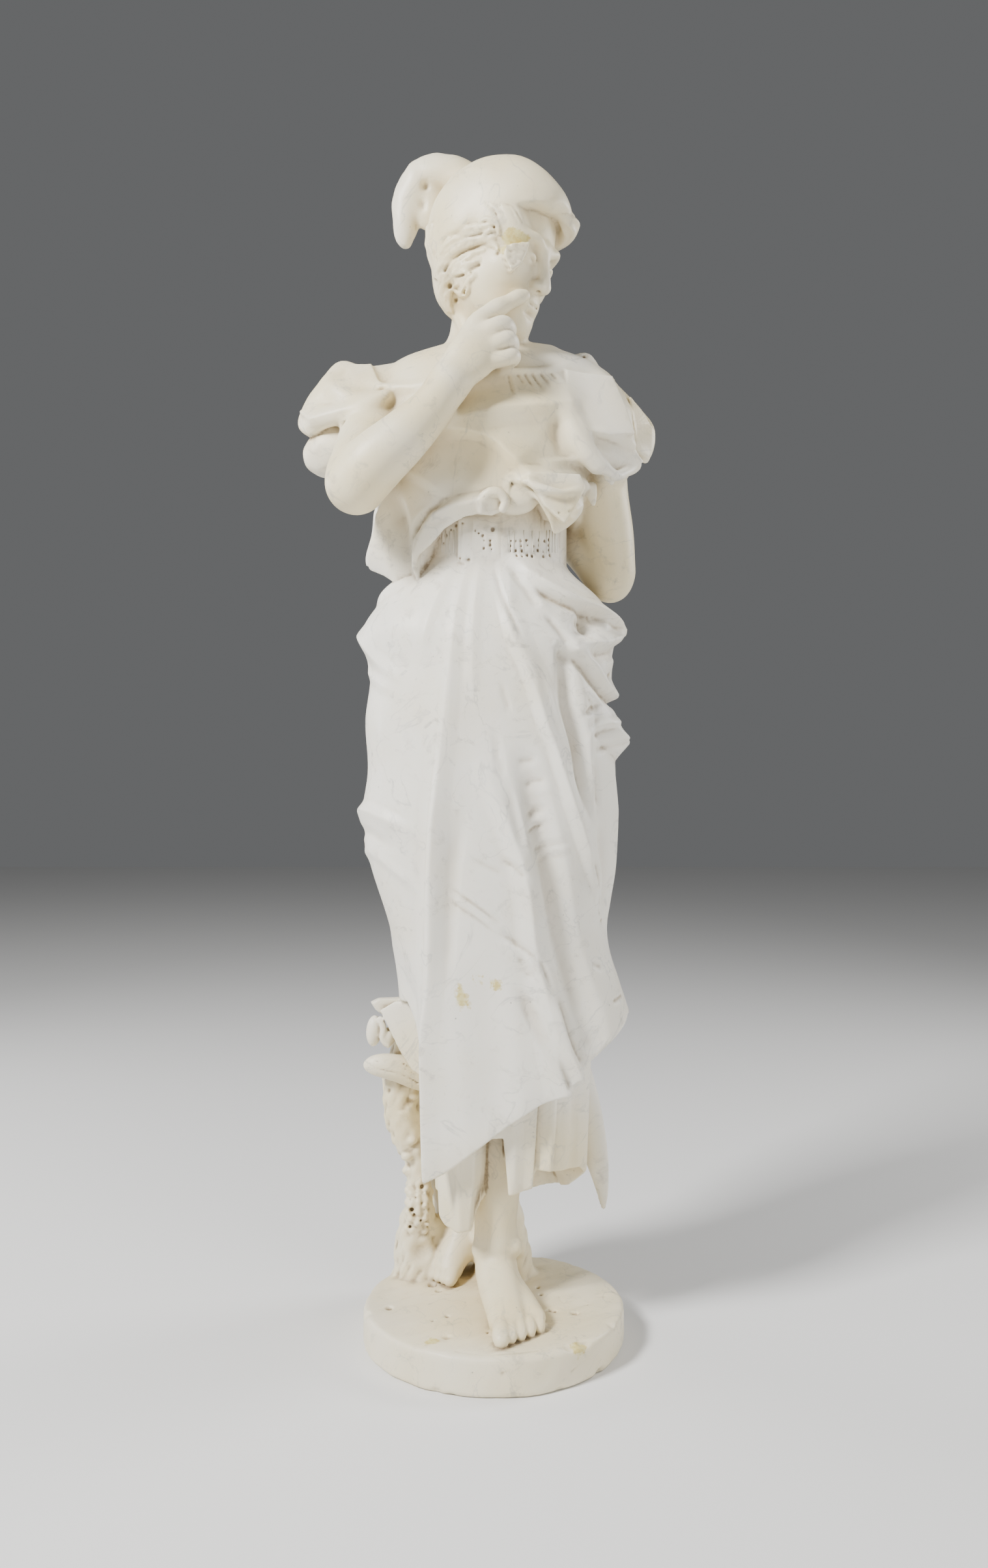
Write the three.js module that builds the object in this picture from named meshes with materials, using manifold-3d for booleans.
// A marble statue of a girl in a cap, a loose blouse and a tucked-up apron, carved in one block
// with the stump behind her and the round base under her bare feet.
// Millimetres, +Z up. The front faces -Y, and the origin is the middle of the underside.

import * as THREE from "three";
import { mergeVertices } from "three/addons/utils/BufferGeometryUtils.js";
import Module from "manifold-3d";

const wasm = await Module();
wasm.setup();

// ---------------------------------------------------------------- driving dimensions

const BASE = { radius: 110, thickness: 31, worn: 3, sides: 32 };
const HEAD = { centre: [3, -28, 910], yaw: 58, pitch: 20, roll: 4 };
const SKIN_ROWS = 5; // rows of faces along a limb
const DEG = Math.PI / 180;

// Garments stand round an upright axis. Each row: height, then the reach left, right, front, back.
const APRON = {
  axis: [0, 0],
  squareness: 2.2,
  stations: [
    [668, 62, 58, 50, 46],
    [648, 70, 62, 54, 52],
    [620, 95, 90, 66, 66],
    [595, 111, 103, 75, 80],
    [560, 104, 99, 79, 86],
    [520, 108, 99, 80, 87],
    [480, 106, 102, 79, 86],
    [430, 111, 101, 76, 83],
    [400, 104, 99, 73, 80],
    [345, 87, 93, 67, 74],
    [300, 79, 106, 62, 70],
    [270, 77, 115, 59, 68],
    [200, 74, 104, 54, 66],
    [130, 73, 92, 50, 62],
  ],
  // Lower edge: bearing from the front (degrees, positive to the right), height.
  hem: [
    [-180, 152],
    [-120, 190],
    [-85, 205],
    [-66, 170],
    [-52, 143],
    [-21, 168],
    [20, 196],
    [52, 222],
    [66, 246],
    [86, 273],
    [110, 262],
    [145, 200],
    [180, 152],
  ],
};

// The bearings that the cloth's lines follow from the belt to the hem: each line has its place
// among the columns of faces, and its bearing at each height.
const APRON_LINES = [
  [0, [[0, -180]]],
  [5, [[0, -118]]],
  [9, [[0, -80]]],
  [14, [[130, -52], [208, -50], [288, -49], [347, -41], [404, -35], [470, -30], [560, -26], [640, -34]]],
  [20, [[200, 50], [241, 41], [271, 36], [311, 33], [334, 26], [376, 21], [414, 14], [451, 3], [480, -7], [600, -16]]],
  [24, [[240, 66], [290, 56], [330, 48], [380, 38], [430, 28], [480, 16], [560, 2], [640, -6]]],
  [27, [[272, 86], [345, 78], [375, 66], [414, 55], [450, 41], [487, 33], [523, 26], [554, 19], [581, 10], [640, 6]]],
  [34, [[240, 118], [300, 106], [380, 100], [450, 92], [520, 84], [600, 76], [660, 70]]],
  [39, [[0, 142]]],
  [43, [[0, 180]]],
];

const UNDERSKIRT = {
  axis: [6, 4],
  squareness: 2.2,
  stations: [
    [320, 66, 80, 50, 60],
    [230, 60, 70, 46, 60],
    [180, 56, 68, 42, 58],
    [135, 56, 66, 38, 56],
    [90, 54, 60, 34, 54],
  ],
  hem: [
    [-180, 104],
    [-140, 112],
    [-100, 124],
    [-70, 112],
    [-52, 97],
    [-38, 99],
    [-29, 176],
    [2, 178],
    [9, 131],
    [28, 136],
    [33, 153],
    [80, 147],
    [105, 122],
    [150, 110],
    [180, 104],
  ],
};

const BLOUSE = {
  axis: [-4, 0],
  squareness: 2.3,
  stations: [
    [832, 46, 52, 30, 30],
    [822, 74, 80, 42, 40],
    [800, 92, 94, 56, 50],
    [770, 94, 92, 64, 56],
    [735, 92, 86, 67, 60],
    [705, 94, 78, 68, 60],
    [680, 95, 75, 67, 58],
    [655, 99, 73, 62, 57],
    [630, 88, 70, 58, 54],
  ],
  hem: [
    [-180, 662],
    [-140, 650],
    [-96, 652],
    [-84, 648],
    [-70, 632],
    [-58, 628],
    [-50, 640],
    [-37, 662],
    [-24, 675],
    [-8, 681],
    [8, 683],
    [14, 706],
    [20, 702],
    [31, 690],
    [47, 668],
    [58, 678],
    [68, 692],
    [78, 708],
    [92, 690],
    [130, 676],
    [180, 662],
  ],
};

const BELT = { low: 643, high: 706, stands: 2.2, tablet: { wide: 37, tall: 44, thick: 1.6, x: -10.5 } };

// Folds run along a path of [bearing, height] over a garment. Each has the height it stands
// proud (or sinks, when negative) and its half width.
const APRON_FOLDS = [
  { path: [[-26, 575], [-30, 470], [-35, 404], [-41, 347], [-49, 288], [-50, 208], [-52, 120]], proud: 9, wide: 19 },
  { path: [[-72, 330], [-74, 240], [-78, 150]], proud: -9, wide: 26 },
  { path: [[6, 640], [12, 590], [19, 554], [26, 523], [33, 487], [41, 450], [55, 414], [66, 375], [80, 340]], proud: 7, wide: 13 },
  { path: [[-7, 480], [3, 451], [14, 414], [21, 376], [26, 334], [33, 311], [36, 271], [41, 241], [50, 200]], proud: 8, wide: 16 },
  { path: [[16, 490], [28, 430], [38, 380], [48, 330], [60, 262]], proud: -7, wide: 14 },
  { path: [[-32, 390], [-12, 370], [6, 352], [24, 335]], proud: 3.5, wide: 10 },
  { path: [[-14, 330], [-6, 260], [0, 190]], proud: -4, wide: 26 },
  { path: [[22, 642], [42, 621], [54, 613], [78, 603], [104, 597]], proud: 9, wide: 11 },
  { path: [[50, 590], [62, 601]], proud: -9, wide: 14 },
  { path: [[46, 580], [66, 583], [96, 594]], proud: 6, wide: 9 },
  { path: [[50, 573], [80, 577], [94, 580]], proud: -4, wide: 9 },
  { path: [[36, 579], [50, 569], [67, 545], [86, 540], [104, 541]], proud: 6, wide: 11 },
  { path: [[39, 569], [53, 557], [68, 537], [100, 534]], proud: -5, wide: 9 },
  { path: [[60, 524], [78, 504], [92, 501], [124, 508]], proud: 14, wide: 22 },
  { path: [[39, 574], [41, 528], [48, 480], [55, 436]], proud: -6, wide: 11 },
  { path: [[-110, 600], [-84, 590], [-62, 560]], proud: 4, wide: 14 },
  { path: [[-100, 440], [-76, 446], [-55, 438], [-42, 424]], proud: 4, wide: 12 },
  { path: [[128, 650], [122, 540], [116, 440], [110, 330]], proud: 9, wide: 18 },
  { path: [[152, 620], [148, 500], [144, 380], [150, 250]], proud: -9, wide: 18 },
  { path: [[172, 650], [170, 520], [168, 360], [172, 180]], proud: 10, wide: 18 },
  { path: [[-164, 620], [-162, 480], [-160, 320], [-164, 180]], proud: -8, wide: 18 },
  { path: [[-146, 650], [-142, 520], [-138, 380], [-140, 200]], proud: 10, wide: 18 },
  { path: [[-122, 610], [-118, 480], [-114, 340]], proud: -7, wide: 18 },
];

const UNDERSKIRT_FOLDS = [
  { path: [[-46, 230], [-44, 90]], proud: 6, wide: 14 },
  { path: [[14, 230], [13, 120]], proud: 5, wide: 11 },
  { path: [[29, 230], [30, 120]], proud: -7, wide: 11 },
  { path: [[52, 230], [56, 140]], proud: 4, wide: 16 },
  { path: [[84, 230], [88, 120]], proud: 6, wide: 15 },
  { path: [[150, 230], [150, 90]], proud: 6, wide: 18 },
  { path: [[-160, 230], [-160, 90]], proud: 6, wide: 18 },
  { path: [[-120, 230], [-118, 90]], proud: 5, wide: 18 },
];

const BLOUSE_FOLDS = [
  { path: [[72, 786], [30, 768], [-8, 759], [-40, 751]], proud: 7, wide: 18 },
  { path: [[-42, 750], [-6, 747], [11, 733], [26, 715]], proud: 7, wide: 15 },
  { path: [[-42, 738], [-6, 735], [6, 724]], proud: -3, wide: 11 },
  { path: [[50, 800], [52, 770], [70, 728], [80, 719]], proud: 6, wide: 13 },
  { path: [[44, 764], [46, 730]], proud: -4, wide: 12 },
  { path: [[-42, 679], [-14, 688], [6, 692]], proud: 6, wide: 9 },
  { path: [[26, 700], [47, 684], [68, 698]], proud: 9, wide: 22 },
  { path: [[17, 706], [37, 712], [56, 715], [80, 708]], proud: 6, wide: 9 },
  { path: [[-34, 679], [-46, 656], [-50, 640]], proud: 5, wide: 9 },
  { path: [[-70, 700], [-75, 662], [-80, 646]], proud: 6, wide: 12 },
  { path: [[-62, 700], [-58, 630]], proud: -8, wide: 16 },
  { path: [[-96, 710], [-92, 650]], proud: 6, wide: 16 },
  { path: [[122, 800], [128, 740], [134, 670]], proud: 7, wide: 17 },
  { path: [[158, 810], [156, 740], [160, 650]], proud: -6, wide: 17 },
  { path: [[-172, 810], [-172, 730], [-170, 650]], proud: 7, wide: 17 },
  { path: [[-140, 800], [-136, 730], [-132, 640]], proud: 7, wide: 17 },
];

// ---------------------------------------------------------------- tools

/** Reads a smooth curve through rows of [key, value, value, ...] at any key. */
function smooth(rows) {
  const sorted = [...rows].sort((a, b) => a[0] - b[0]);
  const keys = sorted.map((row) => row[0]);
  const width = sorted[0].length - 1;
  const values = sorted.flatMap((row) => row.slice(1));
  const curve = new THREE.CubicInterpolant(keys, values, width, new Array(width));
  return (key) => [...curve.evaluate(THREE.MathUtils.clamp(key, keys[0], keys.at(-1)))];
}

/** Reads a chain of straight lines through pairs of [key, value]. */
function straight(pairs) {
  return (key) => {
    let next = pairs.findIndex((pair) => pair[0] > key);
    if (next < 0) next = pairs.length - 1;
    const [from, to] = [pairs[Math.max(next - 1, 0)], pairs[next]];
    const share = (key - from[0]) / (to[0] - from[0] || 1);
    return THREE.MathUtils.lerp(from[1], to[1], THREE.MathUtils.clamp(share, 0, 1));
  };
}

/** The distance from a point to a path, and how far along the path (0 to 1) the nearest spot is. */
function nearest(path, x, z) {
  let [best, along] = [Infinity, 0];
  for (let i = 0; i + 1 < path.length; i++) {
    const [ax, az] = path[i];
    const [dx, dz] = [path[i + 1][0] - ax, path[i + 1][1] - az];
    const share = THREE.MathUtils.clamp(((x - ax) * dx + (z - az) * dz) / (dx * dx + dz * dz), 0, 1);
    const gap = Math.hypot(x - ax - share * dx, z - az - share * dz);
    if (gap < best) [best, along] = [gap, (i + share) / (path.length - 1)];
  }
  return [best, along];
}

/** How far the folds lift a garment's surface at a bearing (degrees) and height. */
function lift(folds, bearing, z, reach) {
  const around = reach * DEG; // millimetres of cloth for each degree
  let total = 0;
  for (const { path, proud, wide } of folds) {
    for (const turn of [-360, 0, 360]) {
      const flat = path.map(([a, h]) => [(a + turn) * around, h]);
      const [gap, along] = nearest(flat, bearing * around, z);
      if (gap > wide) continue;
      const fade = Math.min(1, 0.3 + 3 * along, 0.6 + 3 * (1 - along));
      total += proud * fade * (1 - gap / wide) ** 1.4;
    }
  }
  return total;
}

/** A garment's reach from its axis: four-way rounded section, and its folds. */
function reachOf({ stations, squareness }, folds) {
  const section = smooth(stations);
  return (bearing, z) => {
    const [left, right, front, back] = section(z);
    const [s, c] = [Math.sin(bearing * DEG), Math.cos(bearing * DEG)];
    const across = Math.abs(s) / (s < 0 ? left : right);
    const along = Math.abs(c) / (c > 0 ? front : back);
    const reach = (across ** squareness + along ** squareness) ** (-1 / squareness);
    return reach + lift(folds, bearing, z, reach);
  };
}

/** A closed skin over rings of points, each ring the same length, with a point at either end. */
function skin(rings, first, last) {
  const sides = rings[0].length;
  const points = [first, ...rings.flat(), last];
  const at = (ring, side) => 1 + ring * sides + (side % sides);
  const faces = [];
  for (let j = 0; j < sides; j++) {
    faces.push(0, at(0, j + 1), at(0, j));
    for (let i = 0; i + 1 < rings.length; i++) {
      faces.push(at(i, j), at(i, j + 1), at(i + 1, j + 1));
      faces.push(at(i, j), at(i + 1, j + 1), at(i + 1, j));
    }
    faces.push(points.length - 1, at(rings.length - 1, j), at(rings.length - 1, j + 1));
  }
  return new THREE.BufferGeometry().setFromPoints(points).setIndex(faces);
}

/** An upright garment or block: a reach at each bearing and height, between two edges. */
function column({ axis, foot, head, reach, rows, sides, lines, rise = 0, crown = 0 }) {
  const even = [[0, [[0, -180]]], [sides, [[0, 180]]]];
  const follow = (lines ?? even).map(([place, path]) => [place, straight(path)]);
  const bearingAt = (place, z) => straight(follow.map(([at, line]) => [at, line(z)]))(place);
  const rings = [];
  for (let i = 0; i <= rows; i++) {
    const ring = [];
    for (let j = 0; j < sides; j++) {
      let bearing = -180 + (360 * j) / sides;
      let z = 0;
      for (let pass = 0; pass < 12; pass++) {
        z = THREE.MathUtils.lerp(foot(bearing), head(bearing), i / rows);
        bearing = (bearing + bearingAt(j, z)) / 2;
      }
      const r = reach(bearing, z);
      ring.push(new THREE.Vector3(axis[0] + r * Math.sin(bearing * DEG), axis[1] - r * Math.cos(bearing * DEG), z));
    }
    rings.push(ring);
  }
  const middle = (ring, more) => {
    const mean = ring.reduce((sum, p) => sum + p.z, 0) / ring.length;
    return new THREE.Vector3(axis[0], axis[1], mean + more);
  };
  return skin(rings, middle(rings[0], rise), middle(rings.at(-1), crown));
}

/** A round-ended limb through points, with a radius at each. `flat` squeezes it along `up`. */
function limb(points, radii, { sides = 10, rows = SKIN_ROWS, flat = 1, up = [0, 0, 1] } = {}) {
  const curve = new THREE.CatmullRomCurve3(points.map((p) => new THREE.Vector3(...p)), false, "centripetal");
  const radius = smooth(radii.map((r, i) => [i / (radii.length - 1), r]));
  const upward = new THREE.Vector3(...up);
  const ring = (share, slide, shrink) => {
    const [r] = radius(share);
    const way = curve.getTangent(share);
    const side = upward.clone().cross(way).normalize();
    const over = way.clone().cross(side);
    const centre = curve.getPoint(share).addScaledVector(way, slide * r);
    return Array.from({ length: sides }, (_, j) => {
      const turn = (2 * Math.PI * j) / sides;
      return centre
        .clone()
        .addScaledVector(side, r * shrink * Math.cos(turn))
        .addScaledVector(over, r * shrink * flat * Math.sin(turn));
    });
  };
  const cap = [48]; // degrees round the rounded ends
  const rings = [
    ...cap.map((a) => ring(0, -Math.sin(a * DEG), Math.cos(a * DEG))),
    ...Array.from({ length: rows + 1 }, (_, i) => ring(i / rows, 0, 1)),
    ...[...cap].reverse().map((a) => ring(1, Math.sin(a * DEG), Math.cos(a * DEG))),
  ];
  const tip = (share, sign) => curve.getPoint(share).addScaledVector(curve.getTangent(share), sign * radius(share)[0]);
  return skin(rings, tip(0, -1), tip(1, 1));
}

/** An ellipsoid, turned by degrees about X, Y and Z. */
function ball(centre, radii, { turn = [0, 0, 0], sides = 14, rows = 9 } = {}) {
  const g = new THREE.SphereGeometry(1, sides, rows).rotateX(Math.PI / 2).scale(...radii);
  const euler = new THREE.Euler(...turn.map((a) => a * DEG));
  return g.applyMatrix4(new THREE.Matrix4().makeRotationFromEuler(euler)).translate(...centre);
}

/** A closed geometry as a solid that can be joined and cut. */
function solid(geometry) {
  const bare = new THREE.BufferGeometry().setAttribute("position", geometry.getAttribute("position"));
  bare.setIndex(geometry.index);
  const merged = mergeVertices(bare, 1e-3);
  const faces = [];
  for (let i = 0; i < merged.index.count; i += 3) {
    const [a, b, c] = [0, 1, 2].map((k) => merged.index.getX(i + k));
    if (a !== b && b !== c && c !== a) faces.push(a, b, c);
  }
  const mesh = (triVerts) =>
    new wasm.Mesh({ numProp: 3, vertProperties: merged.attributes.position.array, triVerts: new Uint32Array(triVerts) });
  const made = new wasm.Manifold(mesh(faces));
  return made.volume() < 0 ? new wasm.Manifold(mesh(faces.reverse())) : made;
}

/** Several closed geometries joined into one solid. */
function joined(geometries) {
  return geometries.map(solid).reduce((all, one) => all.add(one));
}

// ---------------------------------------------------------------- base, stump and feet

function base() {
  const { radius, thickness, worn, sides } = BASE;
  const profile = [
    [0, 0],
    [radius - worn, 0],
    [radius, worn],
    [radius, thickness - worn - 1],
    [radius - worn, thickness],
    [0, thickness + 2],
  ];
  const points = profile.map(([r, z]) => new THREE.Vector2(r, z));
  return new THREE.LatheGeometry(points, sides).rotateX(Math.PI / 2);
}

function stump() {
  const ground = BASE.thickness - 2;
  const up = [0, 1, 0];
  return [
    limb([[-64, 62, ground], [-66, 62, 80], [-67, 60, 122], [-78, 58, 168], [-80, 56, 215], [-76, 50, 262]],
      [26, 17, 11, 17, 18, 13], { sides: 7, rows: 5, up }),
    limb([[-84, 62, ground], [-78, 63, 56], [-72, 60, 92]], [8, 9, 10], { sides: 6, rows: 2, up }),
    // sawn branch, curled knot and flat lip
    limb([[-50, 44, 214], [-76, 38, 226], [-103, 34, 236]], [12, 11, 9], { sides: 7, rows: 2, up }),
    limb([[-80, 46, 240], [-96, 44, 247], [-103, 42, 258], [-97, 42, 268], [-88, 44, 262]], [6, 6, 6.5, 6, 5],
      { sides: 6, rows: 5, up }),
    limb([[-66, 44, 262], [-84, 44, 271], [-104, 42, 276]], [15, 9, 3], { sides: 6, rows: 2, flat: 0.6, up: [0, 0, 1] }),
    // rock between the legs and the back of the skirt
    limb([[-42, 66, ground], [-38, 60, 150]], [28, 26], { sides: 6, rows: 1, up }),
    limb([[8, 62, ground], [4, 52, 145]], [27, 27], { sides: 6, rows: 1, up }),
  ];
}

/** Five toes fanned from the ball of a foot: from the big toe across to the little one. */
function toes(big, little, way, length, thick) {
  return Array.from({ length: 5 }, (_, i) => {
    const share = i / 4;
    const at = big.map((v, k) => THREE.MathUtils.lerp(v, little[k], share));
    const reach = length * (1 - 0.42 * share * share - 0.1 * share);
    const r = thick * (i ? 0.74 - 0.07 * share : 1);
    const tip = [at[0] + way[0] * reach, at[1] + way[1] * reach, at[2] - 1];
    return limb([at, tip], [r, r * 0.92], { sides: 5, rows: 1 });
  });
}

function standingLeg() {
  return [
    limb([[7, 6, 225], [3, 8, 140], [3, 5, 92], [4, 8, 62]], [30, 23, 18, 18],
      { sides: 9, rows: 4, up: [0, 1, 0] }),
    limb([[2, 28, 45], [5, 2, 58], [13, -34, 50], [20, -62, 40]], [14, 19, 18, 13], { sides: 8, rows: 4, flat: 0.86 }),
    limb([[12, -62, 38], [36, -54, 37]], [9, 7], { sides: 6, rows: 1, flat: 0.8 }),
    ...toes([12, -70, 37], [41, -58, 35], [0.12, -0.99], 17, 6.6),
  ];
}

function trailingLeg() {
  return [
    limb([[-26, 26, 220], [-21, 62, 140], [-19, 80, 104]], [28, 20, 17],
      { sides: 7, rows: 2, up: [0, 1, 0] }),
    limb([[-16, 92, 84], [-24, 78, 80], [-36, 62, 58], [-44, 54, 42]], [14, 17, 15, 12], { sides: 7, rows: 3, flat: 0.86 }),
    ...toes([-34, 44, 38], [-56, 54, 36], [-0.28, -0.96], 13, 5.8),
  ];
}

// ---------------------------------------------------------------- skirts, belt and blouse

function garment(shape, folds, more) {
  const hem = straight(shape.hem);
  const top = shape.stations[0][0];
  return column({ axis: shape.axis, foot: hem, head: () => top, reach: reachOf(shape, folds), ...more });
}

function skirts() {
  return [
    garment(APRON, APRON_FOLDS, { rows: 15, sides: 43, lines: APRON_LINES, rise: 40 }),
    garment(UNDERSKIRT, UNDERSKIRT_FOLDS, { rows: 1, sides: 34, rise: 26 }),
    // loose end of the back drapery
    limb([[66, 26, 222], [80, 24, 178], [91, 20, 130], [94, 18, 104]], [15, 13, 7, 3], { sides: 6, rows: 3, flat: 0.55, up: [0, 1, 0] }),
  ];
}

function belt() {
  const { low, high, stands, tablet } = BELT;
  const waist = reachOf(APRON, []);
  const band = column({
    axis: APRON.axis,
    foot: () => low,
    head: () => high,
    reach: (bearing) => waist(bearing, 660) + stands,
    rows: 1,
    sides: 30,
  });
  const { wide, tall, thick } = tablet;
  const outline = new THREE.Shape([
    new THREE.Vector2(0, -tall / 2),
    new THREE.Vector2(wide / 2, -tall / 4),
    new THREE.Vector2(wide / 2, tall / 2),
    new THREE.Vector2(-wide / 2, tall / 2),
    new THREE.Vector2(-wide / 2, -tall / 4),
  ]);
  const plate = new THREE.ExtrudeGeometry(outline, { depth: 14, bevelThickness: 1, bevelSize: 1, bevelSegments: 1 });
  plate.rotateX(Math.PI / 2).translate(tablet.x, -waist(0, 660) - stands - thick + 16, 662);
  return [band, plate];
}

function blouse() {
  return [garment(BLOUSE, BLOUSE_FOLDS, { rows: 8, sides: 38, rise: 26, crown: 2 })];
}

function sleeves() {
  return [
    // over the raised arm: an upper roll with sharp corners, and a softer one under it
    limb([[-58, 6, 806], [-84, 4, 794], [-108, -2, 788], [-130, -6, 784]], [18, 27, 30, 26], { sides: 8, rows: 3 }),
    limb([[-97, 0, 804], [-127, -5, 813], [-151, -9, 780], [-154, -11, 767]], [9, 9, 10, 9], { sides: 6, rows: 4 }),
    limb([[-98, 4, 756], [-124, 0, 750], [-141, -3, 744]], [28, 24, 18.5], { sides: 7, rows: 2 }),
    // over the lowered arm: a flat front panel with a hollow lap at its foot
    limb([[60, -2, 800], [78, -9, 788], [90, -14, 768], [94, -16, 750]], [25, 27, 26, 22], { sides: 8, rows: 2, up: [0, 1, 0] }),
    limb([[72, -40, 749], [98, -32, 749], [112, -18, 747]], [5, 6, 5], { sides: 6, rows: 2 }),
    limb([[70, -42, 740], [85, -38, 727], [100, -26, 718], [119, -4, 740]], [7, 8, 7, 4], { sides: 6, rows: 4 }),
    limb([[92, -2, 746], [98, -4, 730]], [20, 16], { sides: 6, rows: 1, up: [0, 1, 0] }),
    // and a leaf of cloth behind, standing off the arm with a hollow between
    limb([[98, 14, 798], [112, 15, 784], [121, 12, 766], [122, 8, 752]], [10, 12, 12, 9], { sides: 7, rows: 3, flat: 0.8, up: [0, 1, 0] }),
    limb([[99, 4, 801], [112, 6, 792], [131, 5, 770], [130, 3, 750], [124, 2, 743]], [4.5, 4.6, 4.4, 4.4, 3.8], { sides: 5, rows: 6 }),
    // two knots tied on the shoulder
    limb([[67, -10, 812], [72, -10, 820], [82, -9, 817]], [5, 6.4, 5], { sides: 5, rows: 2 }),
    limb([[84, -10, 812], [91, -8, 807], [96, -7, 804]], [5.5, 6.4, 5.4], { sides: 5, rows: 2 }),
  ];
}

// ---------------------------------------------------------------- arms and hand

function raisedArm() {
  return [
    limb([[-86, 10, 792], [-104, -40, 742], [-107, -78, 706]], [30, 27, 25], { sides: 8, rows: 1 }),
    limb([[-107, -80, 702], [-84, -88, 724], [-60, -88, 745], [-35, -83, 780]], [24.5, 22, 18, 15.5], { sides: 11, rows: 4 }),
  ];
}

function hand() {
  return [
    limb([[-36, -84, 778], [-21, -80, 798], [-8, -76, 814]], [15.5, 19.5, 17], { sides: 9, rows: 3, flat: 0.66, up: [0.2, -1, 0.1] }),
    // forefinger laid along the jaw
    limb([[-20, -74, 820], [-8, -72, 835], [6, -68, 846], [20, -64, 854]], [8.5, 8, 6.8, 5], { sides: 7, rows: 3 }),
    // middle, ring and little fingers, curled under the chin
    limb([[-10, -78, 818], [7, -76, 826], [11, -64, 824], [0, -56, 824]], [8, 7, 6, 5.5], { sides: 5, rows: 3 }),
    limb([[-4, -80, 808], [10, -76, 814], [13, -63, 813], [2, -54, 813]], [8, 6.8, 6, 5.5], { sides: 5, rows: 3 }),
    limb([[2, -80, 798], [13, -75, 802], [14, -63, 803], [3, -54, 804]], [7, 6.4, 5.6, 5], { sides: 5, rows: 3 }),
    // thumb behind them
    limb([[-30, -72, 796], [-27, -58, 818], [-18, -50, 834]], [9, 8, 6], { sides: 6, rows: 2 }),
  ];
}

function loweredArm() {
  return [
    limb([[86, 10, 786], [90, 13, 720], [97, 16, 680], [100, 20, 648]], [27, 24.5, 23, 21], { sides: 9, rows: 3, up: [0, 1, 0] }),
    limb([[99, 22, 646], [84, 32, 670], [66, 46, 687], [40, 60, 692], [16, 66, 690]], [21, 23.5, 21, 17, 13], { sides: 7, rows: 4 }),
    limb([[18, 68, 690], [0, 70, 692], [-14, 70, 686]], [12, 14, 9], { sides: 7, rows: 2, flat: 0.7, up: [0, 1, 0] }),
  ];
}

// ---------------------------------------------------------------- neck and head

function neck() {
  return [
    limb([[-6, 6, 790], [-9, 4, 838], [-6, -6, 862], [0, -20, 884]], [33, 30, 28, 28], { sides: 10, rows: 3, up: [0, 1, 0] }),
    limb([[-92, 8, 792], [-50, 7, 808], [-10, 6, 826]], [22, 23, 28], { sides: 8, rows: 2 }),
    limb([[74, 6, 792], [36, 6, 808], [0, 6, 826]], [24, 24, 28], { sides: 8, rows: 2 }),
  ];
}

/** The face looks along -Y here, and its middle is the origin; head() turns it into place. */
function face() {
  const pair = (make) => [make(1), make(-1)];
  return [
    ball([0, 4, 10], [41, 52, 42], { sides: 10, rows: 7 }),
    ball([0, -13, -19], [36, 37, 42], { sides: 10, rows: 7 }),
    limb([[0, -16, -36], [0, -36, -54], [0, -42, -60]], [27, 17, 10.5], { sides: 9, rows: 2, up: [1, 0, 0] }),
    limb([[0, -48, -1], [0, -55, -18], [0, -58, -29]], [5, 5.6, 6.6], { sides: 6, rows: 1, up: [1, 0, 0] }),
    ...pair((s) => limb([[8 * s, -48, 2], [19 * s, -45, 5], [31 * s, -33, 0]], [4, 4.6, 3.6], { sides: 5, rows: 2 })),
    ...pair((s) => ball([16 * s, -42, -9], [8.4, 6, 4.8], { sides: 6, rows: 4 })),
    ...pair((s) => ball([20 * s, -32, -24], [14, 12.5, 13], { sides: 6, rows: 4 })),
    ball([0, -51, -41], [10, 4.8, 3], { sides: 6, rows: 3 }),
    ball([0, -49.5, -46.5], [8, 4.6, 3.2], { sides: 6, rows: 3 }),
  ];
}

function hair() {
  const pair = (make) => [make(1), make(-1)];
  return [
    ball([0, 13, 0], [45, 48, 44], { sides: 10, rows: 6 }),
    // forelock rolled over the brow
    limb([[-24, -40, 34], [-4, -49, 37], [14, -53, 34], [24, -53, 29], [35, -39, 18]], [5, 7, 9, 10, 8], { sides: 7, rows: 4 }),
    // waves drawn back from the temples over the ears to the nape
    ...pair((s) => limb([[26 * s, -38, 24], [38 * s, -20, 10], [42 * s, 6, -12], [30 * s, 34, -30]], [6, 9, 11, 11], { sides: 6, rows: 4 })),
    ...pair((s) => limb([[12 * s, 45, -12], [10 * s, 42, -34], [8 * s, 35, -50]], [14, 13, 8], { sides: 6, rows: 2 })),
    // stub of a broken ornament at the near temple
    limb([[-31, -34, 2], [-32, -40, -12]], [8, 4], { sides: 5, rows: 1 }),
  ];
}

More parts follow.
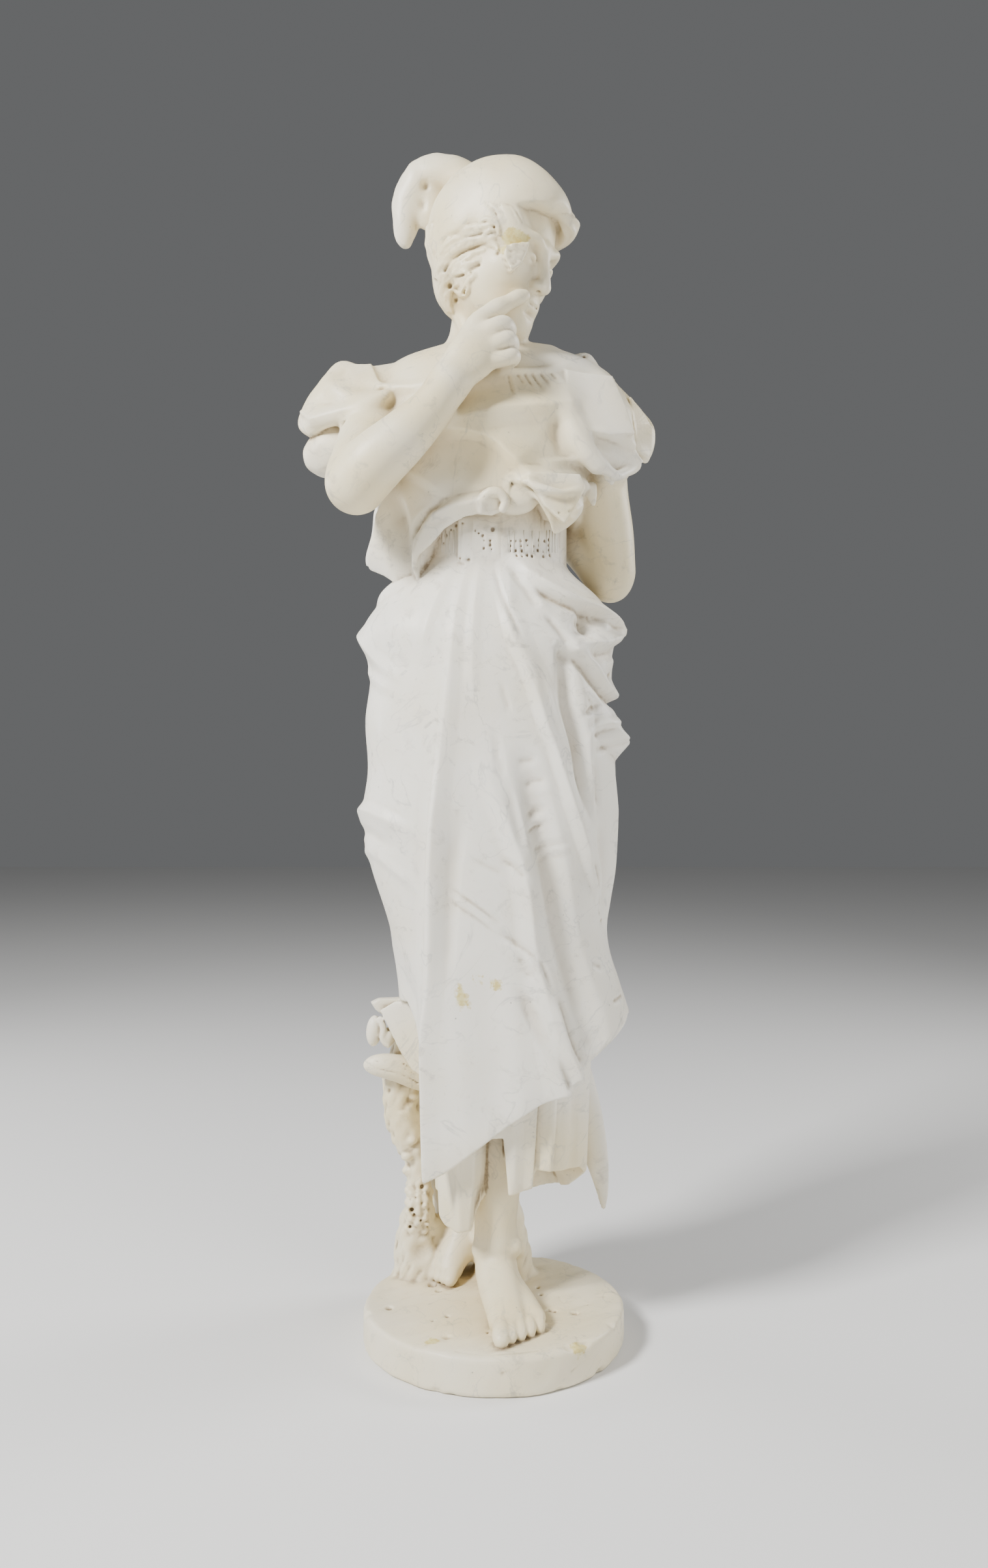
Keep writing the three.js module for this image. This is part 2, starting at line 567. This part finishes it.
function cap() {
  const dome = solid(ball([0, 4, 23], [47, 60, 46], { turn: [-10, 0, 0], sides: 12, rows: 8 }));
  const behind = solid(ball([0, 13, 0], [47.5, 50.5, 47], { sides: 12, rows: 8 }));
  const below = new THREE.BoxGeometry(160, 200, 120).translate(0, 0, -60);
  below.rotateX(-31 * DEG).translate(0, 0, 6);
  return dome.add(behind).subtract(solid(below));
}

function head() {
  const { centre, yaw, pitch, roll } = HEAD;
  const turned = new THREE.Matrix4()
    .makeTranslation(...centre)
    .multiply(new THREE.Matrix4().makeRotationZ(yaw * DEG))
    .multiply(new THREE.Matrix4().makeRotationX(pitch * DEG))
    .multiply(new THREE.Matrix4().makeRotationY(roll * DEG));
  const upright = joined([...face(), ...hair()]).add(cap());
  return upright.transform(turned.elements);
}

/** The cap's long tip, which rises behind the crown and falls at the side. */
function capTail() {
  return [
    limb([[-20, 0, 970], [-42, 2, 984], [-62, 4, 978], [-72, 4, 956], [-74, 4, 934]], [18, 16, 16.5, 14, 10],
      { sides: 9, rows: 6, up: [0, 1, 0] }),
    ball([-54, 2, 956], [16, 9, 22], { sides: 6, rows: 4 }),
  ];
}

// ---------------------------------------------------------------- the statue

const figure = joined([
  base(),
  ...stump(),
  ...trailingLeg(),
  ...standingLeg(),
  ...skirts(),
  ...belt(),
  ...blouse(),
  ...neck(),
  ...loweredArm(),
  ...sleeves(),
  ...raisedArm(),
  ...hand(),
  ...capTail(),
]).add(head());

const marble = new THREE.MeshStandardMaterial({ color: "#e9e4d8", roughness: 0.5, metalness: 0 });

function meshOf(manifold, name, material) {
  const { vertProperties, triVerts, numProp } = manifold.getMesh();
  const points = new Float32Array((vertProperties.length / numProp) * 3);
  for (let i = 0; i < points.length / 3; i++) points.set(vertProperties.subarray(i * numProp, i * numProp + 3), i * 3);
  const geometry = new THREE.BufferGeometry();
  geometry.setAttribute("position", new THREE.BufferAttribute(points, 3));
  geometry.setIndex(new THREE.BufferAttribute(triVerts, 1));
  const mesh = new THREE.Mesh(geometry, material);
  mesh.name = name;
  return mesh;
}

const statue = new THREE.Group();
statue.add(meshOf(figure, "statue", marble));

export default statue;
